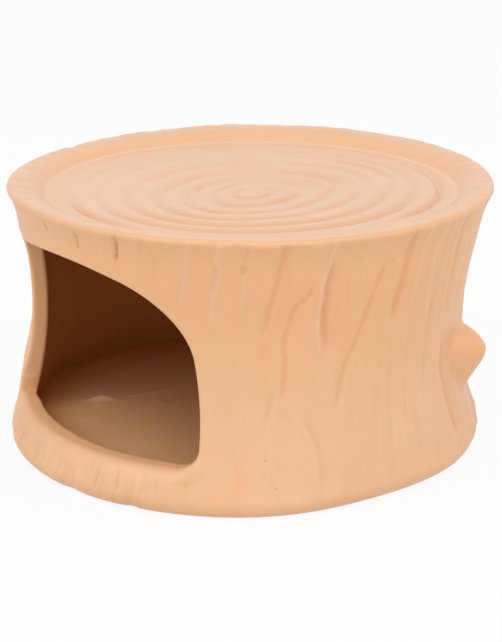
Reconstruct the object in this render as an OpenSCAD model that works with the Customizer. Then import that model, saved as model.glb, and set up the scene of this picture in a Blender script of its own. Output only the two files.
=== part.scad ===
// Terracotta tree-stump hideout for a small animal: a waisted barrel wall with an arched doorway,
// a ringed top disc let into the rim, a floor disc let into the foot, a branch knot on the side and
// the two clay coils that hold the discs. +Z is up, the doorway faces -Y, and the origin is the
// centre of the resting plane.

/* [Stump] */
// Height from the resting plane to the top of the rim
stump_h = 88; // [76:1:120]
// Diameter across the rim
rim_d = 160; // [140:1:200]
// How far the waist draws in from the rim, on the radius
waist_in = 7.5; // [5:0.5:12]
// How far the base flares out from the waist, on the radius
base_flare = 7.5; // [5:0.5:12]
// Height of the waist above the resting plane
waist_z = 45.5; // [38:0.5:52]
// Thickness of the barrel wall
wall_t = 6; // [5:0.5:9]
// Radius of the rounded lip around the rim
lip_r = 2.5; // [1.5:0.5:4]
// Radius of the rounded outer edge of the foot
foot_r = 5; // [3:0.5:7]
// Width of the foot ring, from the widest point of the base inwards
foot_w = 12; // [10:0.5:16]
// Radius of the soft corner between the inner wall and the floor
floor_corner_r = 5; // [3:0.5:8]
// Radius of the soft corner between the inner wall and the shoulder
shoulder_corner_r = 1.5; // [1:0.5:3]

/* [Roof] */
// Width of the rim band around the ringed disc
rim_w = 18; // [14:0.5:24]
// How far the rim band falls from the lip to the disc
rim_dish = 3; // [1:0.5:5]
// How far the ringed disc dips in its middle
roof_sag = 2.5; // [1:0.5:4]
// Thickness of the ringed disc in its middle
roof_t = 3; // [2.5:0.5:6]
// Width of the ledge that carries the disc
roof_ledge = 6; // [4:0.5:9]
// Thickness of the shoulder under the ledge
shoulder_t = 2.5; // [2.5:0.5:5]
// Number of growth rings, the joint around the disc included
ring_count = 7; // [5:1:9]
// Radius of the innermost ring
core_r = 8.6; // [6:0.1:12]
// Depth of a growth ring's groove
ring_depth = 0.9; // [0.5:0.1:1.5]
// Radius of the tool that cuts the groove
ring_tool_r = 2.5; // [2:0.1:3.5]

/* [Floor] */
// Height of the floor disc's underside above the resting plane
foot_recess = 2.5; // [2:0.5:4]
// Thickness of the floor disc
floor_t = 4.5; // [4:0.5:6]
// Width of the step around the floor disc
floor_step_w = 6; // [4:0.5:8]
// Thickness of the step around the floor disc
floor_step_t = 2.25; // [1.5:0.25:3]

/* [Doorway] */
// Width at the foot of the doorway
door_w = 95; // [70:1:100]
// Width between the doorway's shoulders
door_top_w = 88; // [66:1:96]
// Height of the sill above the soft corner around the floor
sill_h = 2; // [1:0.5:6]
// Height of the inner wall left between the doorway's crown and the soft corner under the shoulder
lintel_h = 1; // [1:0.5:8]
// Radius of the doorway's crown
crown_r = 85; // [70:1:110]
// Radius of the doorway's shoulders
door_shoulder_r = 22; // [16:1:26]
// Radius of the doorway's lower corners
door_corner_r = 8; // [5:0.5:12]

/* [Knot] */
// Direction of the knot, from the doorway side towards +X
knot_az = 125; // [90:1:270]
// Height of the knot's middle on the wall
knot_z = 31; // [26:0.5:50]
// Width of the knot where it leaves the wall
knot_w = 27; // [20:0.5:34]
// How far the knot stands out from the wall
knot_reach = 9.5; // [6:0.5:14]
// Radius of the knot's rounded tip
knot_tip_r = 6; // [4:0.5:8]
// Upward tilt of the knot
knot_tilt = 18; // [0:1:25]
// Diameter of the tenon that keys the knot to the wall
tenon_d = 10; // [6:0.5:12]
// How far the tenon runs up into the knot
tenon_root = 2; // [1:0.5:3]
// Wall left behind the tenon's socket
socket_skin = 2; // [1.5:0.5:3]

/* [Joints] */
// Slip-filled clearance between luted pieces
slip_gap = 0.15; // [0.1:0.05:0.3]
// Leg of the coil in the corner under the roof
roof_coil_leg = 2.5; // [1.5:0.25:2.5]
// Leg of the coil in the corner under the floor
floor_coil_leg = 1.75; // [1:0.25:1.75]

/* [Hidden] */
$fn = 96;
clay = [0.93, 0.74, 0.57];
inner_clay = [0.80, 0.58, 0.41];
coil_clay = [0.88, 0.66, 0.48];
// Overshoot of a cutting shape past the face that it cuts
cut = 1;
// Overlap of a round and the line or round that it blends into, so that their surfaces cross
bite = 0.002;

// Barrel: two arcs that meet upright at the waist, each tangent to a corner circle
rim_r = rim_d / 2;
waist_r = rim_r - waist_in;
base_r = waist_r + base_flare;
// Radius of the arc that leaves the waist upright and ends on a corner circle step_in out and rise away
function waist_arc(step_in, rise, corner) =
  (step_in * step_in + rise * rise - corner * corner) / (2 * (corner + step_in));
upper_arc = waist_arc(rim_r - lip_r - waist_r, stump_h - lip_r - waist_z, lip_r);
lower_arc = waist_arc(base_r - foot_r - waist_r, waist_z - foot_r, foot_r);
function hub(arc) = [waist_r + arc, waist_z];
// Middle of a corner circle at height z that just bites into a waist arc pushed in by inset
function corner_at(arc, inset, corner, z) =
  [waist_r + arc - sqrt(pow(arc + inset + corner - bite, 2) - pow(z - waist_z, 2)), z];
// Point of the arc nearest that corner circle's middle
function corner_touch(arc, inset, corner, middle) =
  hub(arc) + (middle - hub(arc)) * (arc + inset) / (arc + inset + corner - bite);
function wall_r(z) =
  let (arc = z > waist_z ? upper_arc : lower_arc) waist_r + arc - sqrt(arc * arc - pow(z - waist_z, 2));

// Levels and seats
floor_z = foot_recess + floor_t;
floor_r = base_r - foot_w;
floor_step_z = foot_recess + floor_step_t;
floor_hole_r = floor_r - floor_step_w;
roof_r = rim_r - rim_w;
roof_z = stump_h - rim_dish;
roof_low_z = roof_z - roof_sag;
roof_seat_z = roof_low_z - roof_t;
roof_hole_r = roof_r - roof_ledge;
shoulder_z = roof_seat_z - shoulder_t;

// Ringed disc: a shallow round dish, and the growth rings cut around its middle
dish_r = (roof_r * roof_r + roof_sag * roof_sag) / (2 * roof_sag);
dish_fn = 720;
function dish_z(r) = roof_low_z + dish_r - sqrt(dish_r * dish_r - r * r);
function ring_r(i) = core_r + (roof_r - core_r) * (i - 1) / (ring_count - 1);

// Doorway: crown, two shoulders and two lower corners, all tangent
sill_z = floor_z + floor_corner_r + sill_h;
door_apex = shoulder_z - shoulder_corner_r - lintel_h;
crown_mid = [0, door_apex - crown_r];
shoulder_x = door_top_w / 2 - door_shoulder_r;
shoulder_mid = crown_mid + [shoulder_x, sqrt(pow(crown_r - door_shoulder_r, 2) - shoulder_x * shoulder_x)];
// Half the turn of the crown, and the flats that it is planed in
crown_turn = asin(shoulder_x / (crown_r - door_shoulder_r));
crown_steps = 16;
corner_mid = [door_w / 2 - door_corner_r, sill_z + door_corner_r];
jamb_run = corner_mid - shoulder_mid;
jamb_lean = (door_shoulder_r - door_corner_r) / norm(jamb_run);
jamb_side = [-jamb_run.y, jamb_run.x];
jamb_out = (jamb_run * jamb_lean + jamb_side * sqrt(1 - jamb_lean * jamb_lean)) / norm(jamb_run);
jamb_top = shoulder_mid + (door_shoulder_r - bite) * jamb_out;
jamb_foot = corner_mid + (door_corner_r - bite) * jamb_out;

// Knot: a blunt cone tangent to its round tip, keyed to the wall by a level tenon
knot_r = knot_w / 2;
tip_mid = knot_reach - knot_tip_r;
tip_turn = acos(knot_tip_r / norm([knot_r, tip_mid])) - atan2(tip_mid, knot_r);
tip_touch = [knot_tip_r * cos(tip_turn), tip_mid + knot_tip_r * sin(tip_turn)];
// The cone starts as deep as the wall, so that its whole edge comes out of the surface
knot_root_r = knot_r + wall_t * (knot_r - tip_touch.x) / tip_touch.y;
tenon_r = tenon_d / 2;
socket_len = wall_t - socket_skin;
tenon_len = socket_len - slip_gap;

// Half section of a waisted barrel with rounded corners, its sides pushed in by inset
module barrel_2d(z_low, z_high, low_r, high_r, inset) {
  low = corner_at(lower_arc, inset, low_r, z_low + low_r);
  high = corner_at(upper_arc, inset, high_r, z_high - high_r);
  low_touch = corner_touch(lower_arc, inset, low_r, low);
  high_touch = corner_touch(upper_arc, inset, high_r, high);
  side_r = max(low_touch.x, high_touch.x);
  difference() {
    union() {
      polygon([
        [0, z_low], [low.x, z_low], low_touch, [side_r, waist_z], high_touch, [high.x, z_high], [0, z_high]
      ]);
      translate(low) circle(low_r);
      translate(high) circle(high_r);
    }
    waist_cut_2d(upper_arc, inset, waist_z, z_high);
    waist_cut_2d(lower_arc, inset, z_low, waist_z);
  }
}

// The round bite that an arc takes out of the barrel's side between two heights
module waist_cut_2d(arc, inset, z_from, z_to) {
  intersection() {
    translate(hub(arc)) circle(arc + inset);
    translate([0, z_from]) square([waist_r + arc, z_to - z_from]);
  }
}

module wall_2d() {
  difference() {
    barrel_2d(0, stump_h, foot_r, lip_r, 0);
    barrel_2d(floor_z, shoulder_z, floor_corner_r, shoulder_corner_r, wall_t);
    rim_dish_2d();
    hole_2d(roof_r, roof_seat_z, stump_h + cut);
    hole_2d(roof_hole_r, shoulder_z - cut, stump_h);
    hole_2d(floor_r, -cut, floor_step_z);
    hole_2d(floor_hole_r, 0, floor_z + cut);
    growth_ring_2d(ring_count);
  }
}

module hole_2d(r, z_from, z_to) {
  translate([-cut, z_from]) square([r + cut, z_to - z_from]);
}

module rim_dish_2d() {
  crest_r = corner_at(upper_arc, 0, lip_r, stump_h - lip_r).x;
  above = stump_h + cut;
  polygon([[0, roof_z], [roof_r, roof_z], [crest_r, stump_h], [crest_r, above], [0, above]]);
}

module doorway_2d() {
  jamb = [[corner_mid.x, sill_z + bite], jamb_foot, jamb_top];
  crown = [for (i = [0:crown_steps]) let (turn = crown_turn * (1 - 2 * i / crown_steps))
    crown_mid + (abs(turn) < crown_turn ? crown_r : crown_r - bite) * [sin(turn), cos(turn)]];
  polygon(concat(jamb, crown, [for (i = [len(jamb) - 1:-1:0]) [-jamb[i].x, jamb[i].y]]));
  for (side = [-1, 1]) {
    translate([side * shoulder_mid.x, shoulder_mid.y]) circle(door_shoulder_r);
    translate([side * corner_mid.x, corner_mid.y]) circle(door_corner_r);
  }
}

module growth_ring_2d(i) {
  translate([ring_r(i), dish_z(ring_r(i)) + ring_tool_r - ring_depth]) circle(ring_tool_r);
}

// Puts a shape that points along +Z on the wall at the knot, tilted up from level
module at_knot(tilt) {
  rotate([0, 0, knot_az - 90]) translate([wall_r(knot_z), 0, knot_z]) rotate([0, 90 - tilt, 0]) children();
}

module knot_2d() {
  polygon([[0, -wall_t], [knot_root_r, -wall_t], tip_touch - [bite, bite], [0, tip_mid]]);
  intersection() {
    translate([0, tip_mid]) circle(knot_tip_r);
    translate([0, tip_mid - knot_tip_r]) square(2 * knot_tip_r);
  }
}

// Quarter-round clay coil in the corner below a flat face, inside a round wall
module corner_coil(r, z, leg) {
  rotate_extrude() intersection() {
    translate([r, z]) circle(leg);
    translate([r - leg, z - leg]) square(leg);
  }
}

module stump_wall() {
  color(clay) difference() {
    rotate_extrude() wall_2d();
    rotate([90, 0, 0]) linear_extrude(max(rim_r, base_r) + cut) doorway_2d();
    at_knot(0) translate([0, 0, -socket_len]) cylinder(h = socket_len + wall_t, r = tenon_r + slip_gap);
  }
}

module ringed_roof() {
  color(clay) rotate_extrude() difference() {
    translate([0, roof_seat_z]) square([roof_r - slip_gap, roof_z - roof_seat_z]);
    translate([0, roof_low_z + dish_r]) circle(dish_r, $fn = dish_fn);
    for (i = [1:ring_count]) growth_ring_2d(i);
  }
}

module floor_plate() {
  color(inner_clay) {
    translate([0, 0, foot_recess]) cylinder(h = floor_step_t, r = floor_r - slip_gap);
    translate([0, 0, foot_recess]) cylinder(h = floor_t, r = floor_hole_r - slip_gap);
  }
}

module branch_knot() {
  color(clay) {
    difference() {
      at_knot(knot_tilt) rotate_extrude() knot_2d();
      rotate_extrude() barrel_2d(0, stump_h, foot_r, lip_r, -slip_gap);
    }
    at_knot(0) translate([0, 0, -tenon_len]) cylinder(h = tenon_len + tenon_root, r = tenon_r);
  }
}

module roof_coil() {
  color(coil_clay) corner_coil(roof_hole_r - slip_gap, roof_seat_z, roof_coil_leg);
}

module floor_coil() {
  color(coil_clay) corner_coil(floor_r - slip_gap, foot_recess, floor_coil_leg);
}

stump_wall();
ringed_roof();
floor_plate();
branch_knot();
roof_coil();
floor_coil();
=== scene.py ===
"""Looks of a terracotta tree-stump hideout: a waisted bark wall, a ringed top, a floor and a branch knot.

Lengths are millimetres until a mesh is made, and z is the height above the resting plane. An azimuth is in
degrees from the doorway side (-Y) towards +X, and a side azimuth is counted from the camera's side instead.
"""

import math
from collections import namedtuple

import bmesh
import bpy
import numpy as np
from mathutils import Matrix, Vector


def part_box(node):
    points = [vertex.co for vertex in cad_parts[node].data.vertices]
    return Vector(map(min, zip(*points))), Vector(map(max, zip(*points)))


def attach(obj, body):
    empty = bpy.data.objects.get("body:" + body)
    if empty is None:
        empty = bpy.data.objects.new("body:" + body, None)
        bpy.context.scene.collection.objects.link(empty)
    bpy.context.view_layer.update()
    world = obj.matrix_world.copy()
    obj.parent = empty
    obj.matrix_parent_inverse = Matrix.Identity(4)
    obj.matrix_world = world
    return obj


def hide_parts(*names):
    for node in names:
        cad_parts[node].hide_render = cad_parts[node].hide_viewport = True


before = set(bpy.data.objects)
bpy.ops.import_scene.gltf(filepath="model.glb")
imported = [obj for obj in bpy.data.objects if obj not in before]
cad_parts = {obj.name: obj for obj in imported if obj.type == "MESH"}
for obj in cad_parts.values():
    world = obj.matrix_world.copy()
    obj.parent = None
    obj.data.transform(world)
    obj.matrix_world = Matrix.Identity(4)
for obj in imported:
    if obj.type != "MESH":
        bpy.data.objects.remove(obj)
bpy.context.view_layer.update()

MM = 0.001


def node_box(node):
    """Lowest and highest corner of a CAD node, in millimetres."""
    return [np.array(corner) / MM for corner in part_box(node)]


# Sizes that the frame gives
_, wall_high = node_box("stump_wall")
roof_low, roof_high = node_box("ringed_roof")
floor_low, floor_high = node_box("floor_plate")
SLIP_GAP = 0.15
RIM_R, STUMP_H = wall_high[0], wall_high[2]
ROOF_R, ROOF_Z, ROOF_SEAT_Z = roof_high[0] + SLIP_GAP, roof_high[2], roof_low[2]
FLOOR_R, FLOOR_Z, FLOOR_UNDER_Z = floor_high[0] + SLIP_GAP, floor_high[2], floor_low[2]

# Barrel
WAIST_IN = 7.5
BASE_FLARE = 7.5
WAIST_Z = 45.5
WALL_T = 6
LIP_R = 1.6
FOOT_R = 4.5
# Tuck under the rim: depth, height and span
TUCK, TUCK_Z, TUCK_SPAN = 1.1, 82, 8
# Flat on the foot: depth, side azimuth, span and height
FOOT_FLAT, FOOT_FLAT_AZ, FOOT_FLAT_SPAN, FOOT_FLAT_H = 2.8, 33, 21, 22
FLOOR_CORNER_R = 0.12
SHOULDER_CORNER_R = 1.5
SHOULDER_T = 2.5
ROOF_LEDGE = 6
FLOOR_STEP_W = 6
FLOOR_STEP_T = 2.25
WAIST_R = RIM_R - WAIST_IN
BASE_R = WAIST_R + BASE_FLARE
SHOULDER_Z = ROOF_SEAT_Z - SHOULDER_T
ROOF_HOLE_R = ROOF_R - ROOF_LEDGE
FLOOR_HOLE_R = FLOOR_R - FLOOR_STEP_W
FLOOR_STEP_Z = FLOOR_UNDER_Z + FLOOR_STEP_T
# Width of one degree on the waist
DEGREE_W = math.radians(1) * WAIST_R

# Doorway, cut by hand with its two sides unlike
SILL_Z = 14
DOOR_APEX = 74.5
DOOR_MIDDLE_Z = 42
DoorSide = namedtuple("DoorSide", "top_half foot_half crown_r shoulder_r corner_r")
DOOR_RIGHT = DoorSide(44, 47.5, 85, 28, 6)
DOOR_LEFT = DoorSide(43.6, 43.6, 150, 9, 1.2)
# Share by which the cut turns from straight in to square with the wall
CUT_TURN = 0.7
# Rounding of its outer edge by outward turn: crown, right jamb, sill, left jamb, crown
EDGE_TURNS = [0, 60, 100, 150, 180, 210, 240, 300, 360]
EDGE_ROUNDS = [0.9, 0.9, 1.2, 2.8, 3.4, 2.8, 1.3, 1.0, 0.9]
INNER_ROUND = 0.8
# Share of the bark left on the edge, and the width over which it comes back
EDGE_RUGGED, EDGE_CALM_W = 0.12, 4
# Crease across the left jamb: height at the outer and inner edge, width, lift, outward turn and span
CREASE_Z, CREASE_W, CREASE_LIFT = (19.4, 18.2), 0.9, 0.35
CREASE_TURN, CREASE_SPAN = 270, 30
# Extra thickness of the sill on its inner side, and how far from a jamb it is full
SILL_DEEP, SILL_DEEP_IN = 1.3, 9

# Rings: radii of their valleys, how far they stray at side azimuths, and the share of their depth there
RING_R = [6.2, 13.8, 23.8, 34.3, 44.8, 53.4]
RING_COUNT = len(RING_R)
RING_END = RING_COUNT + 1
RING_STRAY = [(-110, 0), (-85, -0.8), (-62, -0.8), (-45, 3), (-25, 5.8), (-10, 5.5), (15, 2.2), (35, 0.2),
              (65, 0.4), (88, 1.6), (102, 6), (120, 7), (140, 3.5), (160, 0)]
RING_FADE = [(-178, 0), (-160, 0.2), (-120, 0.6), (-75, 0.6), (-45, 1), (0, 0.8), (60, 1), (75, 0.85),
             (92, 0.45), (115, 0.7), (135, 0.45), (160, 0.15), (178, 0)]
# A valley's depth, how blunt its bottom is and how narrow it is
RING_DEPTH, RING_BLUNT, RING_NARROW = 1.0, 0.05, 1.6
# About this side azimuth each ring runs into the next one in, less so near the pith, and gets fainter
RING_JOIN_AZ, RING_JOIN_SPAN = -88, 70
RING_JOIN_PITH, RING_JOIN_EDGE, RING_JOIN_FAINT = 0.3, 1.05, 0.6

# Top: a dish out to the foot of the rim's slope, with a groove around it and a bead at the slope's foot
DISH_R = [(-180, 64.4), (-130, 66.2), (-90, 67.6), (90, 67.6), (130, 66.2)]
DISH_EDGE_Z = ROOF_Z - 0.8
DISH_SAG, SAG_FROM, SAG_TO = 2.1, 46, 12
SLOPE_CURVE = 2.4
GROOVE_R = [(-75, 59.8), (-60, 60.8), (-45, 61.4), (55, 60.4), (75, 61.8), (90, 62.4), (105, 62.8)]
GROOVE_W, GROOVE_DEPTH = 1.25, 1.6
GROOVE_FADE = [(-100, 0), (-80, 0.3), (-62, 1), (-50, 0.9), (-30, 0), (40, 0), (58, 0.7), (75, 1), (90, 0.8),
               (110, 0.2), (130, 0)]
BEAD_LIFT, BEAD_IN, BEAD_W = 0.5, 0.5, 0.9
BEAD_FADE = [(-130, 1), (-95, 0.5), (-60, 0), (60, 0), (85, 0.8), (120, 1)]
# Where the rim's slope shows the wall's own clay, and how much of it
SLOPE_FADE = [(-110, 1), (-85, 0.3), (-60, 0), (60, 0), (85, 0.3), (110, 1)]
SLOPE_CLAY = 0.55

# Knot, by its tip
KNOT_AZ = 125
KNOT_Z = 35
KNOT_REACH = 8.3
# Its footprint on the wall: (angle from level towards up, reach), seen from outside with right at 0
KNOT_FOOT = [(0, 11), (45, 8.5), (90, 7.5), (130, 9.5), (160, 13), (190, 14), (220, 13), (245, 13),
             (270, 16.5), (315, 12)]
KNOT_EASE = (-16, -8, 0, 8, 16)
KNOT_BLUNT = 0.45
# Powers that make it hollow in its lower flank and full above its tip
KNOT_HOLLOW, KNOT_FULL = 1.45, 1.7
# Share of the footprint where it meets the wall, and how far its edge runs on and sinks in
KNOT_JOINT, KNOT_OVER, KNOT_SINK = 0.8, 0.06, 1.2
KNOT_BACK = 3.5
# Under it the wall falls away over a share and leaves a gap, and on it the bark is calmer
KNOT_BED, KNOT_BED_GAP, KNOT_CALM = 0.4, 0.03, 0.8
# Dent beside it: depth, place to the right of and above the tip, and size
DENT, DENT_AT, DENT_SIZE = 1.4, (-16, -7), (4.5, 9)

# Floor: a lump and a smear, placed to the right of the axis and away, as the camera sees them
LUMP_AT, LUMP_SIZE, LUMP_LIFT = (-49.5, 3.5), (4.5, 1.3), 1.5
SMEAR_FROM, SMEAR_TO, SMEAR_W, SMEAR_LIFT = (-44, 5.4), (-21, 17), 1.0, 0.35
# Shares of the den's painted shade on the ring around the floor and on the floor's edge, from a radius on
RING_DEN_SHADE, FLOOR_DEN_SHADE, FLOOR_DEN_SHADE_R, FLOOR_DEN_SHADE_W = 0.58, 0.3, 54, 8

# Camera, fitted to the photograph's frame
IMAGE_H = 642
FOCAL_PX = 1700
CAMERA_AZ = 50
CAMERA_OUT = 545.9
CAMERA_Z = 223.6
CAMERA_PITCH = 18.86
LEAN = 2.3
CAMERA_SIDE = np.array([math.cos(math.radians(CAMERA_AZ)), math.sin(math.radians(CAMERA_AZ)), 0])

# Mesh counts: columns are COLUMN_FINE degrees apart where the camera looks and COLUMN_WIDE apart elsewhere
FINE_FROM, FINE_TO = -32, 128
COLUMN_FINE, COLUMN_WIDE = 0.35, 1.0
RIM_ROWS, LIP_ROWS, FOOT_ROWS, CORNER_ROWS = 22, 7, 8, 7
FOOT_ROW_W = 1.5
DOOR_ROWS = 56
DOOR_SPAN = 52
DOOR_HEIGHTS = np.linspace(80, 6.6, DOOR_ROWS + 1)
INNER_HEIGHTS = np.linspace(SHOULDER_Z - 0.7, 12.2, DOOR_ROWS + 1)
ROW_GAP = 0.2
ARC_POINTS = 60
EDGE_STEPS, INNER_STEPS, JAMB_STEPS = 7, 3, 5
# Rows between the doorway's edge and the columns, and how they bunch up
OUTER_SPREAD, INNER_SPREAD, SPREAD_EASE = 31, 6, 1.2
SHOULDER_RADII = (66, 62, ROOF_HOLE_R)
KNOT_POINTS, KNOT_ROWS = 120, 40
RING_STEPS = 12
FLOOR_RINGS = 80
DISC_AZ = np.arange(-180.0, 180.0)
ROOF_UNDER_R, FLOOR_UNDER_R = 20, 30
COIL_STEP, COIL_ROWS = 1.5, 7
SHARP_ANGLE = math.radians(38)

# Waves: count waves of slow to fast turns round the stump, from a seeded draw, that drift over z_length
Wave = namedtuple("Wave", "seed slow fast z_length count lift")
BARK_SWELL = Wave(11, 3, 9, 160, 6, 0.28)
BARK_FLUTES = Wave(12, 22, 48, 260, 10, 0.2)
BARK_RIPPLE = Wave(13, 70, 130, 200, 14, 0.1)
BARK_PATCHES = Wave(16, 3, 12, 50, 8, 0.45)
BARK_DIMPLES = Wave(17, 20, 60, 14, 14, 0.05)
RIM_SLOW = Wave(14, 4, 14, 1, 8, 0.07)
RIM_FAST = Wave(15, 30, 60, 1, 8, 0.035)
DEN_SWELL = Wave(21, 3, 9, 90, 6, 0.2)
FLOOR_SWELL = Wave(41, 1, 5, 60, 6, 0.25)
ROOF_COIL = Wave(51, 16, 30, 1, 6, 0.12)
FLOOR_COIL = Wave(52, 16, 30, 1, 6, 0.12)
# These drift with the count of the rings instead of the height
RING_SLOW = Wave(31, 3, 7, 14, 6, 0.25)
RING_FAST = Wave(32, 8, 14, 5, 6, 0.1)
RING_UNEVEN = Wave(33, 1, 4, 4, 5, 0.15)

# Bark: a furrow runs down a path of (side azimuth, z) and is depth deep, or a ridge where that is below 0.
# left and right are the widths of its two flanks.
Furrow = namedtuple("Furrow", "path depth left right fade", defaults=(5,))
FURROWS = [Furrow(*row) for row in (
    ([(-30.1, 88), (-31.6, 77)], 1.2, 0.45, 0.6, 3),
    ([(-42.3, 85.5), (-43.3, 78)], 0.85, 0.45, 0.45, 2),
    ([(-53.8, 85.5), (-54.2, 81)], 0.8, 0.5, 0.5, 2),
    ([(-24, 88), (-24.6, 76)], 0.3, 0.5, 0.5),
    ([(-21, 86), (-21.8, 72)], 0.25, 0.5, 0.6),
    ([(-13.2, 88), (-14.2, 80), (-15.6, 71), (-16.5, 63)], -0.45, 0.6, 1.1),
    ([(-6.6, 88), (-7.4, 79), (-8.4, 69), (-8.8, 58)], -0.45, 0.6, 1.3),
    ([(-0.4, 88), (-1, 82), (-2, 75)], 0.4, 0.5, 0.8),
    ([(-0.7, 84), (-1.6, 71), (-2.4, 62)], -0.4, 0.5, 1.0),
    ([(7.3, 88), (6.6, 80), (5.3, 70), (4.1, 65), (3.8, 58)], 0.6, 0.55, 1.3, 3),
    ([(4.2, 60.2), (3, 58.6), (1, 56.4)], 0.3, 1.2, 1.2, 1.2),
    ([(14.4, 74), (13.1, 69.6), (12, 68), (10.6, 66.7), (9.9, 64), (8.8, 57.6), (8.1, 52.8),
      (8.7, 49.6), (8.6, 43.2), (8, 35.5)], 0.55, 0.6, 1.1, 3),
    ([(6.5, 41), (5.1, 33), (4.2, 26)], 0.45, 0.6, 0.8),
    ([(8.2, 37), (9.4, 35.4), (12, 32), (14.8, 27), (16.6, 21.6), (17.7, 14.4), (18, 3)],
     0.4, 0.8, 2.6, 12),
    ([(7.8, 36.8), (8.6, 35.4), (11.2, 32), (14, 27), (15.9, 21.6), (17, 14.4), (17.4, 3)],
     -0.3, 1.6, 0.6, 3),
    ([(88, 24), (88, 2)], 1.4, 8, 8, 7),
    ([(18.7, 88), (17.5, 79), (16.4, 72), (16.2, 64), (16.4, 56), (17.8, 47)], -0.55, 0.8, 0.5),
    ([(18.6, 82), (17.6, 73), (17.4, 63), (17.9, 56), (18.6, 49)], 0.95, 0.5, 1.7, 7),
    ([(25.8, 88), (25.9, 63)], -0.2, 0.5, 0.6),
    ([(32.6, 80), (30.2, 70), (28.7, 62), (26.6, 52.8), (24.4, 47), (23, 40), (21.2, 30)],
     0.6, 1.1, 0.7),
    ([(38.9, 88), (38.5, 84), (38.1, 72), (36.8, 60), (36, 55)], 0.75, 1.6, 0.9),
    ([(43.1, 88), (42.1, 72), (41, 57)], -0.4, 0.8, 0.7),
    ([(48.5, 88), (47.2, 74), (47.9, 63), (48.5, 52)], -0.45, 1.4, 0.7),
    ([(50.2, 64), (49.8, 50), (49.2, 32)], 0.4, 0.7, 1.0),
    ([(55, 88), (55.6, 76), (56.4, 64), (57, 49)], -0.6, 1.4, 0.7),
    ([(57.6, 88), (58.2, 72), (58.6, 52)], 0.5, 0.9, 1.4),
    ([(57.6, 45), (56.6, 41), (55.6, 36), (57, 30.4), (58.2, 24.8), (60, 16), (61.6, 8)],
     -0.45, 1.6, 1.1),
    ([(59.2, 44), (58.2, 41), (57.3, 36), (58.7, 30.4), (60, 24.8), (61.5, 16), (63, 9)],
     0.9, 1.2, 4.5),
    ([(52.6, 40), (52, 22)], -0.25, 0.6, 0.6),
    ([(65.5, 88), (63.5, 70), (63.5, 50)], -0.5, 2.2, 1.2),
    ([(72, 88), (69.5, 70), (69, 50)], -0.5, 2.2, 1.2),
    ([(78.5, 88), (76, 68), (75, 48)], -0.5, 2.2, 1.2),
    ([(85, 88), (83, 60), (84, 40)], 0.6, 1.6, 0.7),
    ([(33.4, 38), (32.3, 10)], 0.25, 0.7, 0.8),
    ([(42, 52), (42.2, 40), (41.6, 20)], 0.3, 0.7, 0.9),
    ([(46.5, 30), (46.8, 8)], 0.2, 0.7, 0.7),
    ([(27, 34), (27.5, 12)], -0.2, 0.7, 1.0),
    ([(5, 25), (6.2, 16), (8.2, 6)], -0.3, 0.6, 1.3),
    ([(-4.5, 60), (-4.8, 20)], 0.15, 0.8, 0.8),
    ([(1, 50), (0.6, 14)], 0.15, 0.8, 0.8),
    ([(21, 26), (22, 8)], 0.15, 0.8, 0.8),
    ([(-35, 14), (-35.3, 4)], 0.6, 0.5, 0.6, 3),
    ([(-29.5, 14), (-29.8, 5)], 0.5, 0.5, 0.6, 3),
    ([(-57, 14), (-57, 3)], 0.5, 0.6, 0.8, 3),
    ([(-52.5, 14), (-52.8, 3)], -0.4, 0.7, 1.2, 3),
    ([(-62, 14), (-62, 3)], -0.4, 0.7, 1.2, 3),
    ([(-67, 14), (-67, 3)], 0.5, 0.8, 1, 3),
    ([(-47, 14), (-47.5, 3)], 0.4, 0.6, 0.9, 3),
    ([(-41, 14), (-41.4, 3)], -0.4, 0.6, 1.2, 3),
    ([(-24.5, 13), (-24.9, 4)], -0.35, 0.7, 1.2, 3),
    ([(-20, 13), (-20.4, 3)], 0.4, 0.6, 0.8, 3),
    ([(-13, 12), (-13.3, 3)], 0.3, 0.7, 0.9, 3),
    ([(-84, 60), (-88, 30), (-92, 8)], 0.4, 1, 2),
)]
# Pores, as (side azimuth, z), painted as dark spots: the shade in their pinholes
PORES = [(4.5, 18.4), (7.1, 10.2), (33.4, 77.8)]
# Dabs of clay, and swellings that run on to the doorway's edge, as (side azimuth, z, width, height, lift)
DABS = [(-92, 27, 20, 9, 1.1), (34.8, 56.4, 1.2, 1.0, 0.3), (39.6, 56.8, 1.4, 1.0, 0.3),
        (1.6, 57, 1.6, 0.9, 0.25), (37, 53, 2.5, 2, 0.2)]
SWELLS = [(-89, 20, 16, 5.5, 0.9), (-50, 4, 28, 9, 0.7)]
# The side that the camera doesn't see is furrowed from a seeded draw, between these azimuths
WILD_SEED = 7
WILD_FROM, WILD_TO = 130, 318
WILD_COUNT = 52
WILD_LENGTH, WILD_TOP, WILD_FOOT = (18, 48), (32, 80), 3
WILD_LEAN, WILD_BEND = (-5, 5), (-1.5, 1.5)
WILD_DEPTHS = [0.9, 0.6, 0.4, -0.35]
WILD_STEEP, WILD_EASY = 0.6, (1.2, 4)
# Notches in the rim and in the foot, as (side azimuth, depth, width), and the height of the foot's ones
RIM_NOTCHES = [(-128, 0.8, 45), (-126, 0.4, 2.2), (-142, 0.35, 1.8), (-153, 0.3, 1.8), (105, 0.35, 2),
               (60, 0.2, 2)]
FOOT_NOTCHES = [(-43.5, 0.9, 3.5), (-26.5, 1.1, 2.6), (110, 0.9, 4), (205, 1.0, 5)]
FOOT_NOTCH_H = 9
# Share of the fine bark left out on the flanks, between these turns from the camera
PLAIN_SHARE, PLAIN_FROM, PLAIN_TO = 0.65, 45, 125
# Height over which the bark fades at the foot and rim, and its shares lost on the rim and kept on the crest
BARK_EDGE, RIM_CALM, CREST_BARK = 4, 0.75, 0.15
RIM_WAVE_H = 5
# The wall's colour is painted warmer from this height on, over this span: painted shade of the upper wall,
# which faces down under the rim
WARM_SHADE_Z, WARM_SHADE_SPAN = 25, 45

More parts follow.
